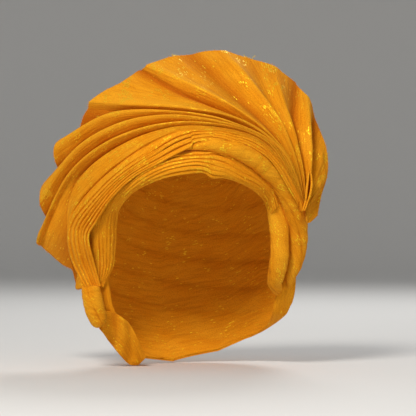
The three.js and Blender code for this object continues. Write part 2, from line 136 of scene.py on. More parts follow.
# Rolls and knot: centre x, y, z and radius
BROW_ROLL = [
    (-12, -86, -24, 3), (4, -86.5, -21.2, 4.8), (20, -84.5, -20.4, 6.4), (42, -77.5, -25, 8.1),
    (61, -67.5, -34.6, 8.9), (76, -55, -47.6, 9.1), (89, -43, -62, 8.8), (98.5, -32, -79, 9.8),
    (102, -20, -96, 9.8), (102.8, -12, -115, 9.6), (101, -6, -131, 8.4), (97, -2, -146, 6.6),
    (95, 4, -160, 3),
]
SIDE_ROLL = [
    (72, -37, -52, 5), (77, -35, -63, 7.6), (80, -32, -77, 8.4), (83.5, -27, -95, 9),
    (85.2, -24, -112, 9), (85, -21, -127, 9), (83, -14, -142, 8.4), (81, -4, -154, 7), (85, 10, -163, 5),
    (92, 26, -168, 2),
]
KNOT = [
    (-99.5, -20, -156.5, 8.6), (-98.5, -20, -166, 9.4), (-96, -19, -178, 9.4), (-92.5, -17, -190, 8.4),
    (-90, -15, -196, 5),
]
# Tail of the knot: in x, y, z, out x, y, z
TAIL = [
    (-97, -14, -184, -91, -14, -197), (-84, -11, -182, -88, -6, -204), (-70, -4, -188, -82, 2, -213),
    (-62, 0, -196, -72, 9, -226), (-53, 6, -214, -63, 18, -236), (-47, 12, -229, -54, 20, -236.5),
]
# Hood: clearance over the head, slack at the sides and back and where it sets in, then how it hangs
WRAP = dict(
    clearance=1.4, loose_left=15, loose_right=20, loose_back=10, loose_from=125, loose_to=90,
    loose_from_z=-40, loose_to_z=-140, hang=124, flare=0.16, tuck_in=0.5,
)
# Rim of the hood: bearing round the head (0 at the nape, -90 on the left), height
WRAP_RIM = [
    (-180, -34), (-150, -38), (-120, -52), (-105, -80), (-97, -120), (-93, -175), (-88, -200),
    (-60, -230), (-20, -236), (20, -226), (50, -206), (74, -186), (84, -165), (93, -118), (105, -62),
    (120, -46), (150, -38), (180, -34),
]
# Hem of the hood, turned in towards the cheeks: bearing, width
HOOD_HEM = [
    (-180, 1), (-106, 1), (-97, 10), (-90, 18), (-82, 12), (-70, 1), (40, 1), (62, 8), (80, 18), (95, 16),
    (104, 1), (180, 1),
]
HEM_ROWS, HEM_WIDEST, HEM_BULGE, HEM_RIPPLE = 10, 18, 3, 0.12
# Hairpin at the right gather: its place, its legs, the slit between them, its lean and stand-off
TUCK = dict(x=113.5, top=-45, bottom=-83, legs=5, leg_share=0.35, slit=2, lean=6, stand_off=7.3)


# Small geometry tools
def unit(v):
    return v / np.maximum(np.linalg.norm(v, axis=-1, keepdims=True), 1e-9)


def smoothstep(x, low, high):
    s = np.clip((x - low) / (high - low), 0, 1)
    return s * s * (3 - 2 * s)


def along_table(rows, t):
    """Every column of a table at shares t of its length, on a smooth curve through its rows."""
    rows, t = np.asarray(rows, float), np.asarray(t, float)
    last = len(rows) - 1
    i = np.clip(np.floor(t * last).astype(int), 0, last - 1)
    f = (t * last - i).reshape(-1, *[1] * (rows.ndim - 1))
    before, here, there, after = (rows[np.clip(i + k, 0, last)] for k in (-1, 0, 1, 2))
    slope_here, slope_there = (there - before) / 2, (after - here) / 2
    bend = 3 * (there - here) - 2 * slope_here - slope_there
    twist = slope_here + slope_there - 2 * (there - here)
    return here + f * (slope_here + f * (bend + f * twist))


def fold_profile(folds, at):
    """Height of a row of folds (place, rise, crispness) at places at."""
    place, rise, crisp = np.array(folds, float).T
    i = np.clip(np.searchsorted(place, at, side="right") - 1, 0, len(place) - 2)
    s = (at - place[i]) / (place[i + 1] - place[i])
    step = rise[i + 1] - rise[i]
    leave, arrive = crisp[i] * step, crisp[i + 1] * step
    return rise[i] + s * (leave + s * (3 * step - 2 * leave - arrive + s * (leave + arrive - 2 * step)))


def lapped(edges, lip=0.012, groove=0.05):
    """Folds of strips that lap: each is highest at its own edge and dips where the next covers it."""
    folds = [(0.0, -0.2, 1.0)]
    for start, end in zip(edges, edges[1:]):
        folds += [(start + lip, 1.0, 0.3), (end - groove, 0.3, 0.9), (end - lip, -1.0, 0.5)]
    return folds + [(1.0, -1.0, 0.8)]


def places_across(folds, pitch, least):
    """Places across a sheet: on every fold, and at least a few between two, a pitch apart at most."""
    places = [np.zeros(1)]
    for (start, *_), (end, *_) in zip(folds, folds[1:]):
        places.append(np.linspace(start, end, max(least, math.ceil((end - start) / pitch)) + 1)[1:])
    return np.concatenate(places)


WAVE_GAIN = 1.7


def soft_waves(seed, cells, at_rows, at_columns):
    """Soft waves of about -1 to 1: random heights on a lattice of cells (rows, columns), smoothed."""
    heights = np.random.default_rng(seed).uniform(-1, 1, (cells[0] + 4, cells[1] + 4))

    def taps(share, count):
        x = np.clip(share, 0, 1) * count
        i = np.minimum(np.floor(x).astype(int), count - 1)
        f = x - i
        weights = ((1 - f) ** 3, 3 * f**3 - 6 * f**2 + 4, -3 * f**3 + 3 * f**2 + 3 * f + 1, f**3)
        return i, [w / 6 for w in weights]

    (row, row_weights), (column, column_weights) = taps(at_rows, cells[0]), taps(at_columns, cells[1])
    total = 0
    for j, wj in enumerate(row_weights):
        for i, wi in enumerate(column_weights):
            total = total + wj * wi * heights[row + j, column + i]
    return WAVE_GAIN * total


def arc_lengths(points, axis):
    """Distance along a grid of points in metres, from its first row or column."""
    gaps = np.linalg.norm(np.diff(points, axis=axis), axis=-1)
    start = np.zeros_like(np.take(gaps, [0], axis=axis))
    return np.concatenate([start, np.cumsum(gaps, axis=axis)], axis=axis) * MM


def facing_front(grid):
    """The way each point of a grid faces, on the side that looks to the front."""
    across = unit(np.cross(np.gradient(grid, axis=1), np.gradient(grid, axis=0)))
    return across * -np.sign(across[..., 1].mean())


def along_and_across(points):
    """Cloth coordinates of a grid: the way along its columns, then the way across its rows."""
    return np.stack([arc_lengths(points, 1), arc_lengths(points, 0)], -1)


def add_object(name, data):
    added = bpy.data.objects.new(name, data)
    bpy.context.scene.collection.objects.link(added)
    return added


def new_piece(name, points, faces, cloth, fold, material):
    """A mesh piece from points in millimetres, with its cloth coordinates as UVs and its fold mask of
    painted light and shade.
    """
    mesh = bpy.data.meshes.new(name)
    mesh.from_pydata((np.asarray(points) * MM).tolist(), [], faces)
    corners = np.zeros(len(mesh.loops), np.int32)
    mesh.loops.foreach_get("vertex_index", corners)
    uv = mesh.uv_layers.new(name="cloth")
    uv.data.foreach_set("uv", np.asarray(cloth, np.float32)[corners].ravel())
    mask = mesh.attributes.new("fold", "FLOAT", "POINT")
    mask.data.foreach_set("value", np.asarray(fold, np.float32).ravel())
    mesh.polygons.foreach_set("use_smooth", np.ones(len(mesh.polygons), bool))
    mesh.materials.append(material)
    mesh.update()
    return add_object(name, mesh)


def cloth_wall(name, points, facing, thickness, cloth, fold, material, ring=False):
    """A closed wall of cloth about a grid of points (rows, columns, 3), with a rounded edge all round."""
    def slopes(p):
        across = np.gradient(p, axis=0)
        if ring:
            return (np.roll(p, -1, 1) - np.roll(p, 1, 1)) / 2, across
        return np.gradient(p, axis=1), across

    along, across = slopes(points)
    if (np.cross(along, across) * facing).sum() < 0:
        points, cloth, fold = points[::-1], cloth[::-1], fold[::-1]
        thickness = thickness[::-1] if np.ndim(thickness) else thickness
        along, across = slopes(points)
    rows, columns = points.shape[:2]
    half = np.broadcast_to(np.asarray(thickness, float) / 2, (rows, columns))[..., None]
    lift = unit(np.cross(along, across)) * half
    number = np.arange(rows * columns).reshape(rows, columns)
    far = rows * columns
    right = np.roll(number, -1, 1) if ring else number[:, 1:]
    left = number if ring else number[:, :-1]
    front = np.stack([left[:-1], right[:-1], right[1:], left[1:]], -1).reshape(-1, 4)
    faces = [front, front[:, ::-1] + far]

    low, high = number[0], number[-1][::-1]
    around = np.concatenate([low, number[1:-1, -1], high, number[1:-1, 0][::-1]])
    loops = [low, high] if ring else [around]
    outward = np.zeros_like(points)
    outward[0] -= unit(across)[0]
    outward[-1] += unit(across)[-1]
    if not ring:
        outward[:, 0] -= unit(along)[:, 0]
        outward[:, -1] += unit(along)[:, -1]
    outward = (points + unit(outward) * half).reshape(-1, 3)
    vertices = [(points + lift).reshape(-1, 3), (points - lift).reshape(-1, 3)]
    cloths, folds = [cloth.reshape(-1, 2)] * 2, [fold.ravel()] * 2
    first = 2 * far
    for loop in loops:
        rim = first + np.arange(len(loop))
        ahead, rim_ahead = np.roll(loop, -1), np.roll(rim, -1)
        faces.append(np.stack([loop, rim, rim_ahead, ahead], -1))
        faces.append(np.stack([rim, loop + far, ahead + far, rim_ahead], -1))
        vertices.append(outward[loop])
        cloths.append(cloth.reshape(-1, 2)[loop])
        folds.append(fold.ravel()[loop])
        first += len(loop)
    return new_piece(
        name, np.concatenate(vertices), np.concatenate(faces).tolist(),
        np.concatenate(cloths), np.concatenate(folds), material,
    )


# Brocade
AMBER = (0.80, 0.29, 0.006, 1)
# The deep amber is painted shade in valleys and crinkle grooves, and also darker grain. The pale amber is
# painted light on ridges, and also paler random tone
DEEP_AMBER_AND_SHADE = (0.48, 0.105, 0.0015, 1)
PALE_AMBER_AND_LIGHT = (0.90, 0.41, 0.018, 1)
GOLD_THREAD = (1.0, 0.70, 0.03, 1)
# Crinkles along the cloth for each one across it, and the scales of its broad shades and fine grain
CRINKLE_STRETCH, SHADE_SCALE, GRAIN_SCALE = 0.1, 38.0, 850.0


def add_node(tree, kind, inputs=(), **settings):
    node = tree.nodes.new(kind)
    for key, value in settings.items():
        setattr(node, key, value)
    for key, value in dict(inputs).items():
        if isinstance(value, bpy.types.NodeSocket):
            tree.links.new(value, node.inputs[key])
        else:
            node.inputs[key].default_value = value
    return node


def calc(tree, operation, *values):
    """A number worked out from sockets or plain numbers."""
    return add_node(tree, "ShaderNodeMath", enumerate(values), operation=operation).outputs[0]


def ramp(tree, value, low, high):
    """Eases from 0 at low to 1 at high."""
    limits = {"Value": value, "From Min": low, "From Max": high}
    eased = add_node(tree, "ShaderNodeMapRange", limits, interpolation_type="SMOOTHSTEP")
    return eased.outputs["Result"]


def noise(tree, place, scale, detail, **more):
    """Cloudy noise at a place."""
    inputs = {"Vector": place, "Scale": scale, "Detail": detail, **more}
    return add_node(tree, "ShaderNodeTexNoise", inputs).outputs[0]


def node_group(name, kind, inputs, outputs):
    """An empty node group with named sockets: {name: (kind, default)} in and {name: kind} out."""
    tree = bpy.data.node_groups.new(name, kind)
    for label, (socket_kind, default) in inputs.items():
        socket = tree.interface.new_socket(label, in_out="INPUT", socket_type=socket_kind)
        if default is not None:
            socket.default_value = default
    for label, socket_kind in outputs.items():
        tree.interface.new_socket(label, in_out="OUTPUT", socket_type=socket_kind)
    return tree, tree.nodes.new("NodeGroupInput").outputs, tree.nodes.new("NodeGroupOutput").inputs


def woven_ground():
    """Threads over and under each other, and the crinkle of a crisp cloth along its length."""
    tree, given, made = node_group(
        "woven_ground", "ShaderNodeTree",
        {
            "Cloth": ("NodeSocketVector", None),
            "Thread Pitch": ("NodeSocketFloat", 0.0007),
            "Crinkle Pitch": ("NodeSocketFloat", 0.003),
        },
        {
            "Thread Height": "NodeSocketFloat", "Crinkle Height": "NodeSocketFloat",
            "Shade": "NodeSocketFloat", "Grain": "NodeSocketFloat",
        },
    )
    parts = add_node(tree, "ShaderNodeSeparateXYZ", {0: given["Cloth"]}).outputs
    threads = [calc(tree, "DIVIDE", part, given["Thread Pitch"]) for part in parts[:2]]
    turns = [calc(tree, "SINE", calc(tree, "MULTIPLY", thread, math.pi)) for thread in threads]
    weave = calc(tree, "MULTIPLY", *turns)
    tree.links.new(calc(tree, "MULTIPLY_ADD", weave, 0.5, 0.5), made["Thread Height"])
    scale = calc(tree, "DIVIDE", 1.0, given["Crinkle Pitch"])
    along = calc(tree, "MULTIPLY", parts[0], calc(tree, "MULTIPLY", scale, CRINKLE_STRETCH))
    across = calc(tree, "MULTIPLY", parts[1], scale)
    stretched = add_node(tree, "ShaderNodeCombineXYZ", {0: along, 1: across}).outputs[0]
    tree.links.new(noise(tree, stretched, 1.0, 3.0, Roughness=0.6), made["Crinkle Height"])
    tree.links.new(noise(tree, given["Cloth"], SHADE_SCALE, 2.0), made["Shade"])
    tree.links.new(noise(tree, given["Cloth"], GRAIN_SCALE, 2.0), made["Grain"])
    return tree


def gold_dashes():
    """Gold threads along the cloth that show as short dashes, thicker in some places than in others."""
    tree, given, made = node_group(
        "gold_dashes", "ShaderNodeTree",
        {
            "Cloth": ("NodeSocketVector", None),
            "Row Pitch": ("NodeSocketFloat", 0.0016),
            "Dash Length": ("NodeSocketFloat", 0.0035),
            "Share": ("NodeSocketFloat", 0.3),
            "Motif Scale": ("NodeSocketFloat", 60.0),
        },
        {"Mask": "NodeSocketFloat"},
    )
    parts = add_node(tree, "ShaderNodeSeparateXYZ", {0: given["Cloth"]}).outputs
    rows = calc(tree, "DIVIDE", parts[1], given["Row Pitch"])
    row = calc(tree, "FLOOR", rows)
    row_noise = add_node(tree, "ShaderNodeTexWhiteNoise", {"W": row}, noise_dimensions="1D")
    shift = row_noise.outputs["Value"]
    cells = calc(tree, "MULTIPLY_ADD", shift, 9.0, calc(tree, "DIVIDE", parts[0], given["Dash Length"]))
    place = add_node(tree, "ShaderNodeCombineXYZ", {0: row, 1: calc(tree, "FLOOR", cells)}).outputs[0]
    dash_noise = add_node(tree, "ShaderNodeTexWhiteNoise", {"Vector": place}, noise_dimensions="2D")
    motif = noise(tree, given["Cloth"], given["Motif Scale"], 1.0)
    share = calc(tree, "MULTIPLY", given["Share"], ramp(tree, motif, 0.48, 0.68))
    shown = calc(tree, "LESS_THAN", dash_noise.outputs["Value"], share)
    sides = []
    for value, full, none in ((rows, 0.18, 0.3), (cells, 0.34, 0.48)):
        from_middle = calc(tree, "ABSOLUTE", calc(tree, "SUBTRACT", calc(tree, "FRACT", value), 0.5))
        sides.append(calc(tree, "SUBTRACT", 1.0, ramp(tree, from_middle, full, none)))
    glow = calc(tree, "MULTIPLY_ADD", shift, 0.4, 0.6)
    dash = calc(tree, "MULTIPLY", calc(tree, "MULTIPLY", *sides), glow)
    tree.links.new(calc(tree, "MULTIPLY", dash, shown), made["Mask"])
    return tree


WOVEN_GROUND, GOLD_DASHES = woven_ground(), gold_dashes()


def brocade(name, dash_share, dash_length, crinkle_pitch, crinkle_depth):
    """Amber brocade: painted shade in its valleys and crinkle grooves, painted light on its ridges, with
    gold dashes along the thread.
    """
    material = bpy.data.materials.new(name)
    material.use_nodes = True
    tree = material.node_tree
    shader = tree.nodes["Principled BSDF"]
    shader.inputs["Sheen Weight"].default_value = 0.03
    shader.inputs["Sheen Roughness"].default_value = 0.4
    shader.inputs["Sheen Tint"].default_value = (1.0, 0.75, 0.35, 1)
    shader.inputs["Specular IOR Level"].default_value = 0.06
    cloth = add_node(tree, "ShaderNodeUVMap", uv_map="cloth").outputs[0]
    ground = add_node(tree, "ShaderNodeGroup", node_tree=WOVEN_GROUND)
    dashes = add_node(tree, "ShaderNodeGroup", node_tree=GOLD_DASHES)
    for group in (ground, dashes):
        tree.links.new(cloth, group.inputs["Cloth"])
    ground.inputs["Crinkle Pitch"].default_value = crinkle_pitch
    dashes.inputs["Dash Length"].default_value = dash_length
    # The fold mask is painted light and shade: low in valleys and recesses, high on ridges and edges
    fold = add_node(tree, "ShaderNodeAttribute", attribute_name="fold").outputs["Fac"]
    # Gold dashes crowd onto the ridges: real gold thread, made denser there as painted glints
    ridge = ramp(tree, fold, 0.3, 0.85)
    dash_share_with_painted_glints = calc(tree, "MULTIPLY_ADD", ridge, 0.8 * dash_share, 0.2 * dash_share)
    tree.links.new(dash_share_with_painted_glints, dashes.inputs["Share"])
    gold = dashes.outputs["Mask"]

    def mix(factor, a, b):
        return add_node(tree, "ShaderNodeMix", {0: factor, 6: a, 7: b}, data_type="RGBA").outputs[2]

    shade, crinkle, grain = (ground.outputs[label] for label in ("Shade", "Crinkle Height", "Grain"))
    body = AMBER
    # Layers of colour over the amber. The fold layers are painted shade in the valleys and painted light
    # on the ridges. The crinkle layer is painted shade in its grooves. The broad shade and grain layers
    # are tone that differs at random
    for value, none, full, strength, colour in (
        (shade, 0.3, 0.7, 0.4, PALE_AMBER_AND_LIGHT), (crinkle, 0.6, 0.34, 0.3, DEEP_AMBER_AND_SHADE),
        (fold, 0.5, 0.0, 0.9, DEEP_AMBER_AND_SHADE), (fold, 0.7, 1.0, 0.45, PALE_AMBER_AND_LIGHT),
        (grain, 0.5, 0.35, 0.35, DEEP_AMBER_AND_SHADE), (grain, 0.55, 0.7, 0.35, PALE_AMBER_AND_LIGHT),
    ):
        body = mix(calc(tree, "MULTIPLY", ramp(tree, value, none, full), strength), body, colour)
    tree.links.new(mix(gold, body, GOLD_THREAD), shader.inputs["Base Color"])
    tree.links.new(calc(tree, "MULTIPLY", gold, 0.9), shader.inputs["Metallic"])
    tree.links.new(calc(tree, "MULTIPLY_ADD", gold, -0.45, 0.8), shader.inputs["Roughness"])
    fine = add_node(
        tree, "ShaderNodeBump",
        {"Strength": 0.5, "Distance": 0.0003, "Height": ground.outputs["Thread Height"]},
    )
    crinkled = add_node(
        tree, "ShaderNodeBump",
        {"Strength": 0.8, "Distance": crinkle_depth, "Height": crinkle, "Normal": fine.outputs[0]},
    )
    tree.links.new(crinkled.outputs[0], shader.inputs["Normal"])
    return material


def plain_material(name, colour, roughness, metallic=0.0):
    material = bpy.data.materials.new(name)
    material.use_nodes = True
    shader = material.node_tree.nodes["Principled BSDF"]
    shader.inputs["Base Color"].default_value = colour
    shader.inputs["Metallic"].default_value = metallic
    shader.inputs["Roughness"].default_value = roughness
    return material


FAN_BROCADE = brocade("fan_brocade", 0.75, 0.0029, crinkle_pitch=0.0026, crinkle_depth=0.0015)
PLEAT_BROCADE = brocade("pleat_brocade", 0.6, 0.0026, crinkle_pitch=0.0018, crinkle_depth=0.0008)
ROLL_BROCADE = brocade("roll_brocade", 0.45, 0.0026, crinkle_pitch=0.0030, crinkle_depth=0.0012)
HOOD_BROCADE = brocade("hood_brocade", 0.15, 0.0029, crinkle_pitch=0.0036, crinkle_depth=0.0016)
AMBER_THREAD = plain_material("amber_thread", AMBER, 0.5)
GOLD_TUFT = plain_material("gold_tuft", GOLD_THREAD, 0.5, 0.7)


# Pieces
def bowl_depth(x, z):
    """Depth of the bowl that the front of the tie lies on: round the brow, leaning back above it."""
    sweep = np.where(x > 0, BOWL["sweep_right"], BOWL["sweep_left"]) * (x / BOWL["sweep_span"]) ** 2
    lean = BOWL["lean"] * (np.maximum(0, z - BOWL["lean_from"]) / BOWL["lean_span"]) ** 2
    tuck = BOWL["tuck"] * smoothstep(-z, -BOWL["tuck_from"], -BOWL["tuck_to"])
    return BOWL["brow"] + sweep + lean + tuck


def on_bowl(x, z, rise):
    """Points at a rise over the bowl, and the way the bowl faces there."""
    slope_x = (bowl_depth(x + 1, z) - bowl_depth(x - 1, z)) / 2
    slope_z = (bowl_depth(x, z + 1) - bowl_depth(x, z - 1)) / 2
    front = unit(np.stack([slope_x, -np.ones_like(x), slope_z], -1))
    return np.stack([x, bowl_depth(x, z), z], -1) + front * rise[..., None], front


STACK_COLUMNS, STRIP_PITCH, STRIP_ROWS = 330, 0.02, 4
STACK_WALL, STACK_RISE, STACK_STEEPEST = 0.8, 2, 0.6
STACK_SWAY, STACK_RIPPLE = 0.02, 0.4
# Shares of the stack's length: its sunk end in the gather, where the strips of the brow divide, and where
# the outer strip grows wide and narrow again
STACK_END_SINKS, STACK_END = 8, 0.06
BROW_STRIPS_DIVIDE = (0.47, 0.62)
OUTER_STRIP_WIDENS, WIDE_FROM, WIDE_TO = 0.2, (0.42, 0.54), (0.68, 0.84)


def stack_cloth():
    """The strips across the brow, from the gather on the right to the knot on the left."""
    close_folds, brow_folds = lapped(STRIP_EDGES), lapped(BROW_STRIP_EDGES, groove=0.1)
    us = np.linspace(0, 1, STACK_COLUMNS)
    vs = places_across(close_folds, STRIP_PITCH, STRIP_ROWS)
    u, v = np.meshgrid(us, vs)
    edges = along_table(STACK, us)
    inner, outer = edges[:, :2], edges[:, 2:]
    width = np.linalg.norm(outer - inner, axis=1)
    x = inner[:, 0]
    for start, end, step in STRIP_ENDS:
        back = np.where((x > start) & (x < end), step * (end - x) / (end - start), 0)
        inner = inner + unit(outer - inner) * back[:, None]
    across = v + STACK_SWAY * np.sin(math.pi * v) * soft_waves(3, (6, 14), v, u)
    wide_outer = smoothstep(u, *WIDE_FROM) * (1 - smoothstep(u, *WIDE_TO))
    across = across - OUTER_STRIP_WIDENS * wide_outer * np.interp(v, (0, STRIP_EDGES[-2], 1), (0, 1, 0))
    seen = inner + across[..., None] * (outer - inner)
    close = smoothstep(u, *BROW_STRIPS_DIVIDE)
    strips = (1 - close) * fold_profile(brow_folds, v) + close * fold_profile(close_folds, v)
    strength = 0.75 + 0.45 * soft_waves(5, (8, 18), v, u)
    rise = np.minimum(STACK_RISE, STACK_STEEPEST * width / len(STRIP_EDGES)) * strips * strength
    rise = rise + STACK_RIPPLE * soft_waves(4, (5, 30), v, u)
    half_gap = np.interp(u, STRIP_GAP["widens"], (STRIP_GAP["half_width"], STRIP_GAP["low_half_width"]))
    in_gap = np.exp(-(((v - STRIP_GAP["place"]) / half_gap) ** 2)) * smoothstep(u, *STRIP_GAP["opens"])
    rise = rise - STRIP_GAP["depth"] * in_gap - STACK_END_SINKS * (1 - smoothstep(u, 0, STACK_END))
    points, front = on_bowl(seen[..., 0], seen[..., 1], rise)
    # Fold mask: painted shade where each strip dips under the next and down in the gap between inner and
    # outer strips, painted light on the strips' edges
    fold = np.clip(0.42 * (strips + 1) - 0.5 * in_gap, 0, 1)
    cloth = along_and_across(points)
    return cloth_wall("stack_cloth", points, front, STACK_WALL, cloth, fold, PLEAT_BROCADE)


def fan_rays(us):
    """Where every guide ray runs, seen from the front: (ray, step along it, x and z)."""
    edges = along_table(STACK, us)
    rays = [edges[:, 2:] - unit(edges[:, 2:] - edges[:, :2]) * FAN_TUCKS_UNDER]
    for k, row in enumerate(FAN_RAYS, 1):
        share = k / len(FAN_RAYS)
        root = [(1 - share) * a + share * b for a, b in zip(FAN_ROOT_FROM, FAN_ROOT_TO)]
        rays.append(along_table(np.array([*root, *row], float).reshape(-1, 2), us))
    return np.array(rays)


FAN_COLUMNS, FAN_ROW_PITCH, FAN_FOLD_ROWS, FIRST_LEAF_ROWS, SLIDE_STEPS = 150, 1 / 20, 6, 30, 400
# Folds are calmer near the free edge of the upper leaves: by how much, past what share of a ray, from and
# to which ray
RIM_CALM, CALM_FROM, CALM_RAYS = 0.6, 0.72, (3.5, 3.9)
# Fine pleats at the gather: their number, their rise, and the shares of a ray over which they fade
GATHER_PLEATS_PER_RAY, GATHER_RISE, GATHER_FADES = 2, 0.7, (0.1, 0.5)
# Uneven waves of the fan: rise, seed, cells
FAN_WAVES = [(0.7, 11, (46, 7)), (0.5, 12, (22, 16))]
# Columns at the free edge that keep the thread spacing of the column before them
RIM_COLUMNS = 45
FAN_WALL, GATHER_WALL, FULL_FOLD = 1.0, 0.3, 7


def fan_points():
    """Grid of the fan: points, the way they face, room between rays, heights of the folds, rows."""
    us = np.linspace(0, 1, FAN_COLUMNS)
    vs = places_across(FAN_FOLDS, FAN_ROW_PITCH, FAN_FOLD_ROWS)
    vs = np.union1d(vs, np.linspace(FIRST_LEAF, 1, FIRST_LEAF_ROWS))
    rays = fan_rays(us)
    last = len(FAN_RAYS)

    def leaf_of(places):
        return np.minimum(np.floor(places).astype(int), last - 1)

    def seen_at(places):
        k = leaf_of(places)
        between = (places - k)[:, None, None]
        straight = rays[k] * (1 - between) + rays[k + 1] * between
        rounded = along_table(rays, places / last)
        edge = np.array(FAN_EDGE, float)
        shift = np.stack([np.interp(places, edge[:, 0], column) for column in edge[:, 1:].T], -1)
        start = np.interp(places, *np.array(FAN_EDGE_FROM).T)[:, None]
        at_edge = shift[:, None] * smoothstep(us, start, 1)[..., None]
        return straight + (rounded - straight) * (us * us)[:, None] + at_edge

    seen, k = seen_at(vs), leaf_of(vs)
    u, v = np.meshgrid(us, vs)
    far_side = np.interp(us, *np.array(FIRST_LEAF_NARROWS).T)
    beyond = far_side + (v - FIRST_LEAF) * (1 - far_side) / (1 - FIRST_LEAF)
    slid = np.where(v < FIRST_LEAF, v * far_side / FIRST_LEAF, beyond)[vs < 1]
    fine = seen_at(np.linspace(0, 1, SLIDE_STEPS + 1))
    i = np.minimum(np.floor(slid * SLIDE_STEPS).astype(int), SLIDE_STEPS - 1)
    f = (slid * SLIDE_STEPS - i)[..., None]
    columns = np.arange(len(us))
    seen[vs < 1] = fine[i, columns] * (1 - f) + fine[i + 1, columns] * f
    room = np.minimum(1, np.linalg.norm(rays[k + 1] - rays[k], axis=-1) / FOLD_ROOM)
    folds = fold_profile(FAN_FOLDS, v)
    near_gather = 1 - smoothstep(u, *GATHER_FADES)
    pleats = 2 * np.abs(np.sin(math.pi * GATHER_PLEATS_PER_RAY * v)) ** 0.7 - 1
    calm = 1 - RIM_CALM * smoothstep(u, CALM_FROM, 1) * smoothstep(v, *CALM_RAYS)
    rise = room**0.75 * folds * calm + GATHER_RISE * near_gather * room**0.5 * pleats
    waves = sum(height * soft_waves(seed, cells, v / last, u) for height, seed, cells in FAN_WAVES)
    rise = rise + room * waves
    points, front = on_bowl(seen[..., 0], seen[..., 1], rise)
    return points, front, room, folds, vs


FAN_POINTS, FAN_FRONT, FAN_ROOM, FAN_HEIGHTS, FAN_PLACES = fan_points()


def fan_cloth():
    """The wide fan above the brow, one cloth gathered on the right and folded into leaves."""
    way = arc_lengths(FAN_POINTS, 0)
    even = way.shape[1] - RIM_COLUMNS
    rim_way = np.repeat(way[:, even:even + 1], way.shape[1], 1)
    ridge = np.searchsorted(FAN_PLACES, FIRST_LEAF_RIDGE)
    rim_way[:ridge, even:] = rim_way[ridge, even:] + way[:ridge, even:] - way[ridge, even:]
    cloth = np.stack([arc_lengths(FAN_POINTS, 1), rim_way], -1)
    thickness = GATHER_WALL + (FAN_WALL - GATHER_WALL) * np.minimum(1, FAN_ROOM * 2)
    # Fold mask: painted shade in the valleys of the fan's folds, painted light on their ridges
    fold = np.clip((FAN_HEIGHTS + FULL_FOLD) / (2 * FULL_FOLD), 0, 1)
    return cloth_wall("fan_cloth", FAN_POINTS, FAN_FRONT, thickness, cloth, fold, FAN_BROCADE)


BAND_COLUMNS = 320
BAND_WALL, BAND_RISE, BAND_SWAY, BAND_RIPPLE = 0.9, 1.0, 0.05, 0.5


def band_cloth():
    """The pleated band on the brow, which goes in under the roll and the stack, back over the hood."""
    folds = lapped(BAND_STRIP_EDGES)
    us, vs = np.linspace(0, 1, BAND_COLUMNS), places_across(folds, STRIP_PITCH, STRIP_ROWS)
    u, v = np.meshgrid(us, vs)
    rows = along_table(BAND, us)
    s = (v + BAND_SWAY * np.sin(math.pi * v) * soft_waves(21, (4, 13), v, u))[..., None]
    on_face = (s - BAND_BEND) * (s - 1) / BAND_BEND
    on_bend = s * (1 - s) / (BAND_BEND * (1 - BAND_BEND))
    on_hood = s * (s - BAND_BEND) / (1 - BAND_BEND)
    grid = rows[:, :3] * on_face + rows[:, 3:6] * on_bend + rows[:, 6:] * on_hood
    front = facing_front(grid)
    strips = fold_profile(folds, v) * (0.65 + 0.6 * soft_waves(23, (7, 14), v, u))
    rise = BAND_RISE * strips + BAND_RIPPLE * soft_waves(22, (4, 26), v, u)
    points = grid + front * rise[..., None]
    # Fold mask: painted shade where each strip dips under the next, painted light on the strips' edges
    fold = np.clip((strips + 1) / 2, 0, 1)
    cloth = along_and_across(points)
    return cloth_wall("band_cloth", points, front, BAND_WALL, cloth, fold, PLEAT_BROCADE)


ROLL_SIDES = 96
ROLL_STEP = 0.01


def roll_cloth(name, table, rings, shape, thread_twist, blunt=8, flat=1):
    """A roll along a table of centres and radii, closed at its ends; shape gives swell and a fold mask of
    painted light and shade.
    """
    sides = ROLL_SIDES
    ts = (1 - np.cos(np.pi * np.linspace(0, 1, rings + 2)[1:-1])) / 2
    centre = along_table(table, ts)
    on, back = np.minimum(ts + ROLL_STEP, 1), np.maximum(ts - ROLL_STEP, 0)
    along = unit((along_table(table, on) - along_table(table, back))[:, :3])
    to_front = np.array([0.0, -1.0, 0.0])
    facing = unit(to_front - along * (along @ to_front)[:, None])
    aside = np.cross(along, facing)
    t, angle = np.meshgrid(ts, np.arange(sides) / sides * TURN, indexing="ij")
    swell, fold = shape(t, angle)
    reach = centre[:, 3:] * np.sqrt(1 - (2 * t - 1) ** blunt) * swell
    across, outward = np.cos(angle)[..., None], np.sin(angle)[..., None]
    spokes = aside[:, None] * across + facing[:, None] * outward * flat
    points = centre[:, None, :3] + spokes * reach[..., None]
    length = arc_lengths(centre[:, None, :3], 0)
    girth = angle * centre[:, 3:] * MM
    cloth = np.stack([length + girth * thread_twist, girth - length * thread_twist], -1)
    number = np.arange(rings * sides).reshape(rings, sides)
    ahead = np.roll(number, -1, 1)
    faces = np.stack([number[:-1], ahead[:-1], ahead[1:], number[1:]], -1).reshape(-1, 4).tolist()
    first, last = rings * sides, rings * sides + 1
    faces += [[first, b, a] for a, b in zip(number[0], ahead[0])]
    faces += [[last, a, b] for a, b in zip(number[-1], ahead[-1])]
    ends = along_table(table, np.array([0.0, 1.0]))[:, :3]
    return new_piece(
        name, np.concatenate([points.reshape(-1, 3), ends]), faces,
        np.concatenate([cloth.reshape(-1, 2), cloth[0, :1], cloth[-1, :1]]),
        np.concatenate([fold.ravel(), [0.5, 0.5]]), ROLL_BROCADE,
    )


ROLL_SWELL = 1.03


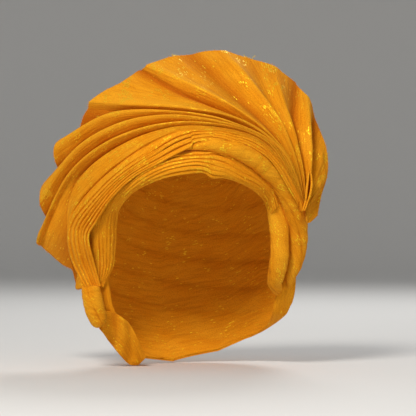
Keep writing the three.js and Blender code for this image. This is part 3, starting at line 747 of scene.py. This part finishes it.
def wound(folds, turns, depth, crease_seed, creases, crease_depth):
    """Swell of a wound roll: folds that wind round it, and short creases across it, with a fold mask of
    painted shade between the folds and painted light where the creases stand out.
    """
    def shape(t, angle):
        layers = 2 * np.abs(np.cos((folds * angle - TURN * turns * t) / 2)) ** 0.6 - 1
        around = angle / TURN
        seam = smoothstep(around, 0.9, 1.0)
        crease = soft_waves(crease_seed, (creases, 3), t, around) * (1 - seam)
        crease = crease + soft_waves(crease_seed, (creases, 3), t, around * 0) * seam
        sharp = np.abs(crease) ** 0.6
        swell = ROLL_SWELL + depth * layers + crease_depth * (sharp - 0.5)
        # Painted shade between the wound folds, painted light where the creases stand out
        return swell, np.clip(0.45 + 0.4 * layers + 0.2 * sharp, 0, 1)
    return shape


HOOD_COLUMNS, HOOD_ROWS, HOOD_WALL, HOOD_RIPPLE = 240, 109, 1.1, 0.9
# Lapped turns at the back of the hood: height of one, how far they sag there, slant, sway, rise, and the
# bearings between which they fade out towards the face
HOOD_LAPS = dict(height=27, sag=26, slant=0.16, sway=4, rise=2.4, full_to=62, none_from=88)
# Mean radius of the hood in metres, for its thread's way round
HOOD_RADIUS = 0.09


def hood_cloth():
    """The hood over the crown and round to the nape, in overlapping turns of cloth at the back."""
    middle, top = -CROWN_TO_WIDEST, CROWN_TO_WIDEST + WRAP["clearance"]
    bag_turn = WRAP["hang"] / top
    bearings = np.linspace(-180, 180, HOOD_COLUMNS + 1)[:-1]
    bearing, share = np.meshgrid(bearings, np.linspace(0, 1, HOOD_ROWS + 1)[:-1])
    rim = np.interp(bearing, *np.array(WRAP_RIM, float).T)
    rim_height = (rim - middle) / top
    rim_turn = np.where(rim < middle, rim_height, np.arcsin(np.clip(rim_height, -1, 1)))
    turn = rim_turn + (math.pi / 2 - rim_turn) * share
    below = np.maximum(0, -turn) / bag_turn
    z = np.where(turn < 0, middle - WRAP["hang"] * below, middle + top * np.sin(turn))
    girth = np.where(turn < 0, 1 + WRAP["flare"] * below - WRAP["tuck_in"] * below**3, np.cos(turn))
    behind = smoothstep(-np.abs(bearing), -WRAP["loose_from"], -WRAP["loose_to"])
    loose = behind * smoothstep(-z, -WRAP["loose_from_z"], -WRAP["loose_to_z"])
    angle = np.radians(bearing)
    side, back = np.sin(angle), np.cos(angle)
    loose_side = np.where(side < 0, WRAP["loose_left"], WRAP["loose_right"])
    width = HEAD_HALF_WIDTH + WRAP["clearance"] + loose * loose_side
    depth = HEAD_HALF_DEPTH + WRAP["clearance"] + loose * WRAP["loose_back"] * np.maximum(0, back)
    points = np.stack([width * girth * side, depth * girth * back, z], -1)
    upward = np.maximum(0, z - middle) / top**2
    front = unit(np.stack([points[..., 0] / width**2, points[..., 1] / depth**2, upward], -1))
    free = smoothstep(-np.abs(bearing), -HOOD_LAPS["none_from"], -HOOD_LAPS["full_to"])
    around = (bearing + 180) / 360
    sway = HOOD_LAPS["sway"] * soft_waves(31, (5, 6), share, around)
    layer = (z + HOOD_LAPS["sag"] * back + HOOD_LAPS["slant"] * bearing + sway) / HOOD_LAPS["height"]
    part = layer - np.floor(layer)
    lap = (1 - part) ** 1.6 * smoothstep(part, 0, 0.06)
    ripple = HOOD_RIPPLE * soft_waves(32, (16, 10), share, around)
    rise = free * (HOOD_LAPS["rise"] * lap + ripple)
    points = points + front * rise[..., None]
    # Fold mask: painted shade along the top of each turn, under the edge of the turn above
    fold = 0.8 - 0.4 * free * smoothstep(part, 0.75, 1)

    inward = np.linspace(1, 0, HEM_ROWS + 1)[:-1, None]
    hem = np.interp(bearings, *np.array(HOOD_HEM, float).T) * inward
    level = unit(front[0] * (1, 1, 0))
    turned_in = points[0] - level * hem[..., None]
    turned_in[..., 1] -= HEM_BULGE * np.sin(math.pi * inward) * hem / HEM_WIDEST
    hem_around = np.broadcast_to(around[0], hem.shape)
    turned_in[..., 1] -= HEM_RIPPLE * hem * soft_waves(33, (3, 90), inward, hem_around)
    points = np.concatenate([turned_in, points])
    # Painted shade on the hem turned in towards the cheeks, deeper the wider it turns in
    fold = np.concatenate([0.75 - 0.02 * hem, fold])
    front = np.concatenate([np.broadcast_to(front[0], turned_in.shape), front])
    way_round = np.broadcast_to(angle[0] * HOOD_RADIUS, fold.shape)
    cloth = np.stack([way_round, arc_lengths(points, 0)], -1)
    return cloth_wall("hood_cloth", points, front, HOOD_WALL, cloth, fold, HOOD_BROCADE, ring=True)


TAIL_COLUMNS, TAIL_ROWS, TAIL_WALL = 110, 70, 1.0
TAIL_CREASES, TAIL_RISE, TAIL_RIPPLE = 3.2, 1.2, 1.2


def tail_cloth():
    """The end of the cloth that comes out below the knot and goes round to the nape."""
    us = np.linspace(0, 1, TAIL_COLUMNS)
    u, v = np.meshgrid(us, np.linspace(0, 1, TAIL_ROWS))
    rows = along_table(TAIL, us)
    grid = rows[:, :3] + v[..., None] * (rows[:, 3:] - rows[:, :3])
    front = facing_front(grid)
    creases = -np.cos(TURN * TAIL_CREASES * (u - 0.12 * v + 0.05 * soft_waves(42, (4, 4), v, u)))
    creases = creases * (1.1 - 0.7 * u)
    rise = TAIL_RISE * creases + TAIL_RIPPLE * soft_waves(41, (4, 7), v, u)
    points = grid + front * rise[..., None]
    # Fold mask: painted shade in the valleys of the creases, painted light on their tops
    fold = 0.55 + 0.35 * creases
    cloth = along_and_across(points)
    return cloth_wall("tail_cloth", points, front, TAIL_WALL, cloth, fold, ROLL_BROCADE)


TUCK_ROWS = 60


def tuck_cloth():
    """A hairpin of cloth forward of the fan's right leaf, open to the front and pinched at its ends."""
    u, v = np.meshgrid(*[np.linspace(0, 1, TUCK_ROWS)] * 2)
    pinch = 0.15 + 0.85 * np.sin(math.pi * np.clip((v - 0.25) / 0.7, 0, 1)) ** 0.6
    thickness = 0.8 + 1.4 * np.sin(math.pi * (0.04 + 0.92 * v)) ** 0.6
    half = (TUCK["slit"] * pinch + thickness) / 2
    z = TUCK["bottom"] + (TUCK["top"] - TUCK["bottom"]) * v
    x = TUCK["x"] - TUCK["lean"] * (1 - v) ** 2.5
    y = bowl_depth(x, z) - TUCK["stand_off"] * (0.35 + 0.65 * v) - half
    bend = math.pi * np.clip((u - TUCK["leg_share"]) / (1 - 2 * TUCK["leg_share"]), 0, 1)
    leg = np.maximum(0, TUCK["leg_share"] - np.minimum(u, 1 - u)) / TUCK["leg_share"]
    front = np.stack([-np.cos(bend), np.sin(bend), np.zeros_like(u)], -1)
    curl = front * (half + 0.2 * soft_waves(51, (6, 4), v, u))[..., None]
    points = np.stack([x, y - TUCK["legs"] * leg * (0.4 + 0.6 * pinch), z], -1) + curl
    cloth = np.stack([arc_lengths(points, 0), arc_lengths(points, 1)], -1)
    # Fold mask: painted shade in the hairpin's bend inside the slit, painted light on its legs
    return cloth_wall("tuck_cloth", points, front, thickness, cloth, 0.85 * leg**0.5, PLEAT_BROCADE)


# Loose threads
def loose_threads():
    """Thin curved threads along a line of edges, each the way of the outward attribute at its place."""
    tree, given, made = node_group(
        "loose_threads", "GeometryNodeTree",
        {
            "Line": ("NodeSocketGeometry", None),
            "Thread Spacing": ("NodeSocketFloat", 0.001),
            "Thread Length": ("NodeSocketFloat", 0.002),
            "Thread Width": ("NodeSocketFloat", 0.0003),
            "Spread": ("NodeSocketVector", (0.7, 0.7, 3.1)),
            "Seed": ("NodeSocketInt", 1),
            "Material": ("NodeSocketMaterial", None),
        },
        {"Threads": "NodeSocketGeometry"},
    )
    line = add_node(tree, "GeometryNodeMeshToCurve", {"Mesh": given["Line"]}).outputs[0]
    spacing = {"Curve": line, "Length": given["Thread Spacing"]}
    spaced = add_node(tree, "GeometryNodeResampleCurve", spacing, mode="LENGTH").outputs[0]
    places = add_node(tree, "GeometryNodeCurveToPoints", {"Curve": spaced}, mode="EVALUATED").outputs[0]
    outward = add_node(
        tree, "GeometryNodeInputNamedAttribute", {"Name": "outward"}, data_type="FLOAT_VECTOR"
    ).outputs["Attribute"]
    aligned = add_node(tree, "FunctionNodeAlignRotationToVector", {"Vector": outward}, axis="Z")
    against = add_node(
        tree, "ShaderNodeVectorMath", {0: given["Spread"], "Scale": -1.0}, operation="SCALE"
    ).outputs[0]
    sway = add_node(tree, "FunctionNodeRandomValue", {"Seed": given["Seed"]}, data_type="FLOAT_VECTOR")
    tree.links.new(against, sway.inputs[0])
    tree.links.new(given["Spread"], sway.inputs[1])
    turned = add_node(tree, "FunctionNodeEulerToRotation", {0: sway.outputs[0]}).outputs[0]
    turn = {"Rotation": aligned.outputs[0], "Rotate By": turned}
    rotation = add_node(tree, "FunctionNodeRotateRotation", turn, rotation_space="LOCAL").outputs[0]
    bow, bend = (calc(tree, "MULTIPLY", given["Thread Length"], share) for share in (0.35, 0.6))
    tip = add_node(tree, "ShaderNodeCombineXYZ", {"X": bow, "Z": given["Thread Length"]}).outputs[0]
    rising = add_node(tree, "ShaderNodeCombineXYZ", {"Z": bend}).outputs[0]
    curve = add_node(
        tree, "GeometryNodeCurvePrimitiveBezierSegment",
        {"Resolution": 4, "Start": (0, 0, 0), "Start Handle": rising, "End Handle": tip, "End": tip},
    ).outputs[0]
    half_width = calc(tree, "MULTIPLY", given["Thread Width"], 0.5)
    circle = {"Resolution": 3, "Radius": half_width}
    section = add_node(tree, "GeometryNodeCurvePrimitiveCircle", circle).outputs[0]
    swept = {"Curve": curve, "Profile Curve": section, "Fill Caps": True}
    thread = add_node(tree, "GeometryNodeCurveToMesh", swept).outputs[0]
    size = add_node(tree, "FunctionNodeRandomValue", {"Seed": given["Seed"]}, data_type="FLOAT")
    size.inputs[2].default_value = 0.35
    size.inputs[3].default_value = 1.3
    strewn = add_node(
        tree, "GeometryNodeInstanceOnPoints",
        {"Points": places, "Instance": thread, "Rotation": rotation, "Scale": size.outputs[1]},
    ).outputs[0]
    solid = add_node(tree, "GeometryNodeRealizeInstances", {0: strewn}).outputs[0]
    paint = {"Geometry": solid, "Material": given["Material"]}
    painted = add_node(tree, "GeometryNodeSetMaterial", paint).outputs[0]
    tree.links.new(painted, made["Threads"])
    return tree


LOOSE_THREADS = loose_threads()


def threads_on(name, line, outward, settings):
    """Threads along a line of points in millimetres, as a plain mesh."""
    mesh = bpy.data.meshes.new(name + "_line")
    mesh.from_pydata((line * MM).tolist(), [(i, i + 1) for i in range(len(line) - 1)], [])
    ways = mesh.attributes.new("outward", "FLOAT_VECTOR", "POINT")
    ways.data.foreach_set("vector", outward.astype(np.float32).ravel())
    piece = add_object(name, mesh)
    modifier = piece.modifiers.new("loose_threads", "NODES")
    modifier.node_group = LOOSE_THREADS
    for socket in LOOSE_THREADS.interface.items_tree:
        if socket.in_out == "INPUT" and socket.name in settings:
            modifier[socket.identifier] = settings[socket.name]
    evaluated = piece.evaluated_get(bpy.context.evaluated_depsgraph_get())
    grown = bpy.data.meshes.new_from_object(evaluated)
    piece.modifiers.clear()
    piece.data = grown
    return piece


EDGE_FRINGE = {
    "Thread Spacing": 0.0011, "Thread Length": 0.0016, "Thread Width": 0.00032, "Seed": 5,
    "Material": AMBER_THREAD,
}
GOLD_FRINGE = {
    "Thread Spacing": 0.0004, "Thread Length": 0.0042, "Thread Width": 0.0004,
    "Spread": (1.1, 1.1, 3.1), "Seed": 9, "Material": GOLD_TUFT,
}
# Gold tufts on the fan's edge: x where they stand out of it
TUFT_PLACES = (54.8, -14)


def fan_threads():
    """Short threads out of the fan's cut edge, and two tufts of gold thread on it."""
    edge = FAN_POINTS[:, -1]
    outward = unit(edge - FAN_POINTS[:, -4])
    pieces = [threads_on("edge_threads", edge, outward, EDGE_FRINGE)]
    top = edge[:, 2] > 0
    for number, x in enumerate(TUFT_PLACES, 1):
        middle = np.argmin(np.where(top, np.abs(edge[:, 0] - x), np.inf))
        near = slice(max(0, middle - 1), middle + 2)
        pieces.append(threads_on(f"gold_tuft_{number}", edge[near], outward[near], GOLD_FRINGE))
    return pieces


fan = fan_cloth()
threads = fan_threads()
stack = stack_cloth()
band = band_cloth()
hood = hood_cloth()
tail = tail_cloth()
tuck = tuck_cloth()
brow_winding = wound(folds=2, turns=1.5, depth=0.03, crease_seed=61, creases=46, crease_depth=0.11)
side_winding = wound(folds=2, turns=1.0, depth=0.02, crease_seed=62, creases=36, crease_depth=0.08)
knot_winding = wound(folds=3, turns=0.5, depth=0.03, crease_seed=63, creases=12, crease_depth=0.07)
brow_roll = roll_cloth("brow_roll_cloth", BROW_ROLL, 280, brow_winding, thread_twist=0.5, flat=0.85)
side_roll = roll_cloth("side_roll_cloth", SIDE_ROLL, 240, side_winding, thread_twist=0.3, flat=0.6)
knot = roll_cloth("knot_cloth", KNOT, 120, knot_winding, thread_twist=1.2, blunt=16)

SHEETS = [
    (fan, "fan", (0.30, 0.36), 0.062, "gathered", ["stack_cloth"], threads),
    (stack, "pleat_stack", (0.042, 0.36), None, "folded", ["band_cloth"], []),
    (band, "brow_band", (0.05, 0.30), None, "folded", ["hood_cloth"], []),
    (hood, "back_wrap", (0.36, 0.42), 0.09, "stretched", ["band_cloth"], []),
    (tail, "knot_tail", (0.036, 0.06), None, "folded", ["hood_cloth"], []),
    (tuck, "end_tuck", (0.017, 0.034), None, "folded", ["fan_cloth"], []),
]
for piece, node, flat, area, held, rests_on, fringe in SHEETS:
    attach(piece, "root")
    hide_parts(node)
    for extra in fringe:
        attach(extra, "root")
for piece, node in ((brow_roll, "brow_roll"), (side_roll, "side_roll"), (knot, "knot")):
    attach(piece, "root")
    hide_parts(node)


# Floor, light and camera
FLOOR_Z = CAD_BOX[0].z - 0.002
FLOOR_RADIUS, FLOOR_CURVE, WALL_TOP, FLOOR_SPOKES = 3.4, 1.2, 3.2, 96


def studio_floor():
    """A plain pale floor that curves up into a plain pale wall all round, well away from the object."""
    profile = [
        (FLOOR_RADIUS + FLOOR_CURVE * math.sin(a), FLOOR_CURVE * (1 - math.cos(a)))
        for a in np.linspace(0, math.pi / 2, 14)
    ]
    profile.append((FLOOR_RADIUS + FLOOR_CURVE, WALL_TOP))
    spokes = FLOOR_SPOKES
    ways = [(math.cos(TURN * i / spokes), math.sin(TURN * i / spokes)) for i in range(spokes)]
    points = [(r * x, r * y, FLOOR_Z + height) for r, height in profile for x, y in ways]
    faces = [tuple(range(spokes))]
    for j in range(len(profile) - 1):
        for i in range(spokes):
            n = (i + 1) % spokes
            faces.append((j * spokes + n, j * spokes + i, (j + 1) * spokes + i, (j + 1) * spokes + n))
    mesh = bpy.data.meshes.new("studio_floor")
    mesh.from_pydata(points, [], faces)
    mesh.polygons.foreach_set("use_smooth", np.ones(len(mesh.polygons), bool))
    mesh.materials.append(plain_material("pale_paper", (0.72, 0.71, 0.69, 1), 0.85))
    floor = add_object("studio_floor", mesh)


def soft_light(name, place, target, size, power, colour=(1, 1, 1)):
    light = bpy.data.lights.new(name, "AREA")
    light.shape, light.size, light.energy, light.color = "DISK", size, power, colour
    lamp = add_object(name, light)
    lamp.location = place
    direction = Vector(target) - Vector(place)
    lamp.rotation_euler = direction.to_track_quat("-Z", "Y").to_euler()


studio_floor()
MIDDLE = (0.0, -0.03, -0.06)
soft_light("key_light", (-0.55, -1.6, 1.25), MIDDLE, 0.6, 37, (1.0, 0.97, 0.92))
soft_light("fill_light", (1.3, -1.6, 0.4), MIDDLE, 1.2, 3)
soft_light("back_light", (0.4, 1.6, 1.2), MIDDLE, 1.0, 16)
world = bpy.data.worlds.new("studio")
world.use_nodes = True
world.node_tree.nodes["Background"].inputs["Color"].default_value = (0.95, 0.97, 1.0, 1)
world.node_tree.nodes["Background"].inputs["Strength"].default_value = 0.3
bpy.context.scene.world = world
bpy.context.scene.view_settings.view_transform = "Standard"

CAMERA_DISTANCE, PICTURE_WIDTH, SENSOR = 2.2, 0.4035, 36
camera_data = bpy.data.cameras.new("camera")
camera_data.sensor_width = SENSOR
camera_data.lens = SENSOR * CAMERA_DISTANCE / PICTURE_WIDTH
camera = add_object("camera", camera_data)
camera.location = (0.015, -0.04 - CAMERA_DISTANCE, -0.0805)
camera.rotation_euler = (math.pi / 2, 0, 0)
bpy.context.scene.camera = camera
